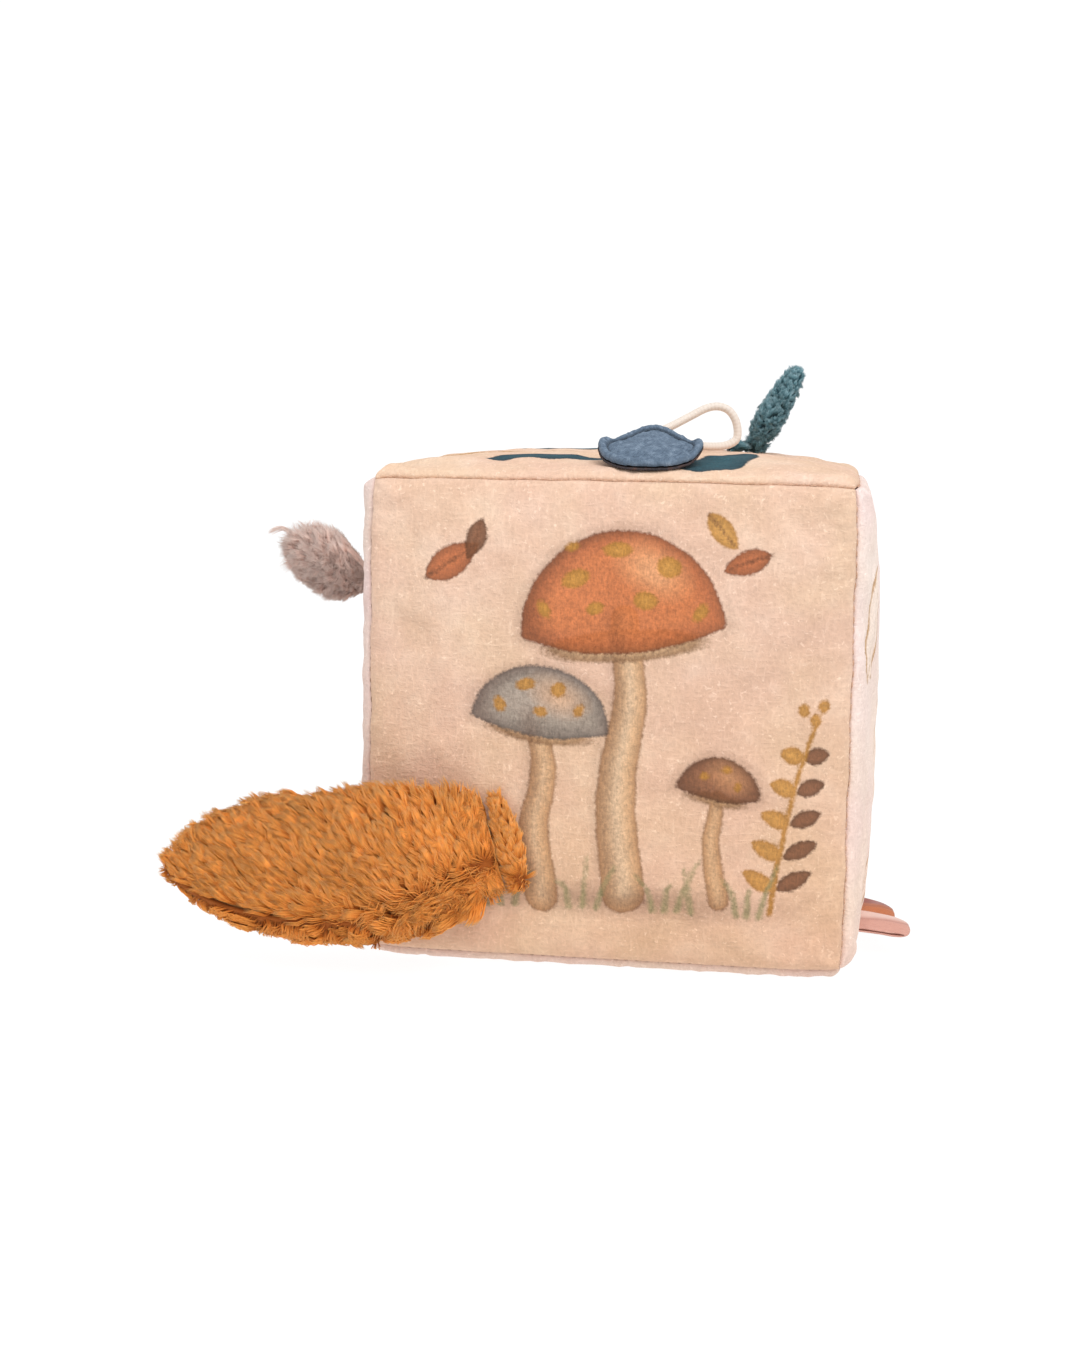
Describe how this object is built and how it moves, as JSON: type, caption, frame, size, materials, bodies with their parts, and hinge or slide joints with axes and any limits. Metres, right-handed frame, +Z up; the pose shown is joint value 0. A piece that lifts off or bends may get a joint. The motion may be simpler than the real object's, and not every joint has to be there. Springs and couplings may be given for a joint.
{
  "type": "soft fabric block",
  "caption": "Soft stuffed fabric cube for a baby, with a plush tail on its front, small plush tails on top and side, a padded wing, a cord loop and satin ribbon tags.",
  "frame": {"origin": "centre of the underside, on the surface that the block rests on", "axes": "+X to the right of the pictured front, +Z up, -Y out of the pictured front"},
  "size_m": [0.2172, 0.1773, 0.1771],
  "materials": {
    "front_panel": "matte woven cotton",
    "back_panel": "matte woven cotton",
    "left_panel": "matte woven cotton",
    "right_panel": "matte woven cotton",
    "top_panel": "matte woven cotton",
    "bottom_panel": "matte woven cotton",
    "fibre_filling": "loose polyester fibre",
    "front_tail_upper": "plush pile",
    "front_tail_under": "plush pile",
    "front_tail_filling": "loose polyester fibre",
    "front_tail_hem": "plush pile",
    "top_tail_right": "plush pile",
    "top_tail_left": "plush pile",
    "top_tail_filling": "loose polyester fibre",
    "top_tail_hem": "plush pile",
    "side_tail_upper": "plush pile",
    "side_tail_lower": "plush pile",
    "side_tail_filling": "loose polyester fibre",
    "wing_face": "matte woven cotton",
    "wing_wadding": "fibre wadding",
    "wing_backing": "matte woven cotton",
    "cord_loop": "round woven cord",
    "pink_ribbon": "satin ribbon",
    "rust_ribbon": "satin ribbon"
  },
  "bodies": {
    "block": {"front_panel": "front_panel", "back_panel": "back_panel", "left_panel": "left_panel", "right_panel": "right_panel", "top_panel": "top_panel", "bottom_panel": "bottom_panel", "fibre_filling": "fibre_filling", "front_tail_hem": "front_tail_hem", "top_tail_hem": "top_tail_hem"},
    "front_tail": {"front_tail_upper": "front_tail_upper", "front_tail_under": "front_tail_under", "front_tail_filling": "front_tail_filling"},
    "top_tail": {"top_tail_right": "top_tail_right", "top_tail_left": "top_tail_left", "top_tail_filling": "top_tail_filling"},
    "side_tail": {"side_tail_upper": "side_tail_upper", "side_tail_lower": "side_tail_lower", "side_tail_filling": "side_tail_filling"},
    "wing": {"wing_face": "wing_face", "wing_wadding": "wing_wadding", "wing_backing": "wing_backing"},
    "cord": {"cord_loop": "cord_loop"},
    "pink_tag": {"pink_ribbon": "pink_ribbon"},
    "rust_tag": {"rust_ribbon": "rust_ribbon"}
  },
  "joints": [
    {"name": "front_tail_lift", "type": "hinge", "parent": "block", "child": "front_tail", "pos_m": [-0.0316, -0.07645, 0.038], "axis": [-0.2504, 0, 0.9681], "range_deg": [0, 55]},
    {"name": "top_tail_bend", "type": "hinge", "parent": "block", "child": "top_tail", "pos_m": [0.0363, 0.02, 0.15167], "axis": [0, 1, 0], "range_deg": [-50, 45], "stiffness_Nm_per_rad": 0.0004},
    {"name": "side_tail_bend", "type": "hinge", "parent": "block", "child": "side_tail", "pos_m": [-0.07929, -0.035, 0.1085], "axis": [0, -1, 0], "range_deg": [-45, 60], "stiffness_Nm_per_rad": 0.002},
    {"name": "wing_lift", "type": "hinge", "parent": "block", "child": "wing", "pos_m": [0.0096, -0.068, 0.14601], "axis": [1, 0, 0], "range_deg": [-5, 120], "stiffness_Nm_per_rad": 0.0005},
    {"name": "cord_loop_tilt", "type": "hinge", "parent": "block", "child": "cord", "pos_m": [0.0079, -0.0318, 0.15052], "axis": [0.9996, 0.0274, 0], "range_deg": [-3, 60], "stiffness_Nm_per_rad": 0.0002},
    {"name": "pink_ribbon_bend", "type": "hinge", "parent": "block", "child": "pink_tag", "pos_m": [0.07465, -0.032, 0.0094], "axis": [0, 0.9925, 0.1219], "range_deg": [-60, 32], "stiffness_Nm_per_rad": 0.00005},
    {"name": "rust_ribbon_bend", "type": "hinge", "parent": "block", "child": "rust_tag", "pos_m": [0.07483, -0.017, 0.01], "axis": [0, 0.9925, 0.1219], "range_deg": [-60, 50], "stiffness_Nm_per_rad": 0.00004}
  ]
}
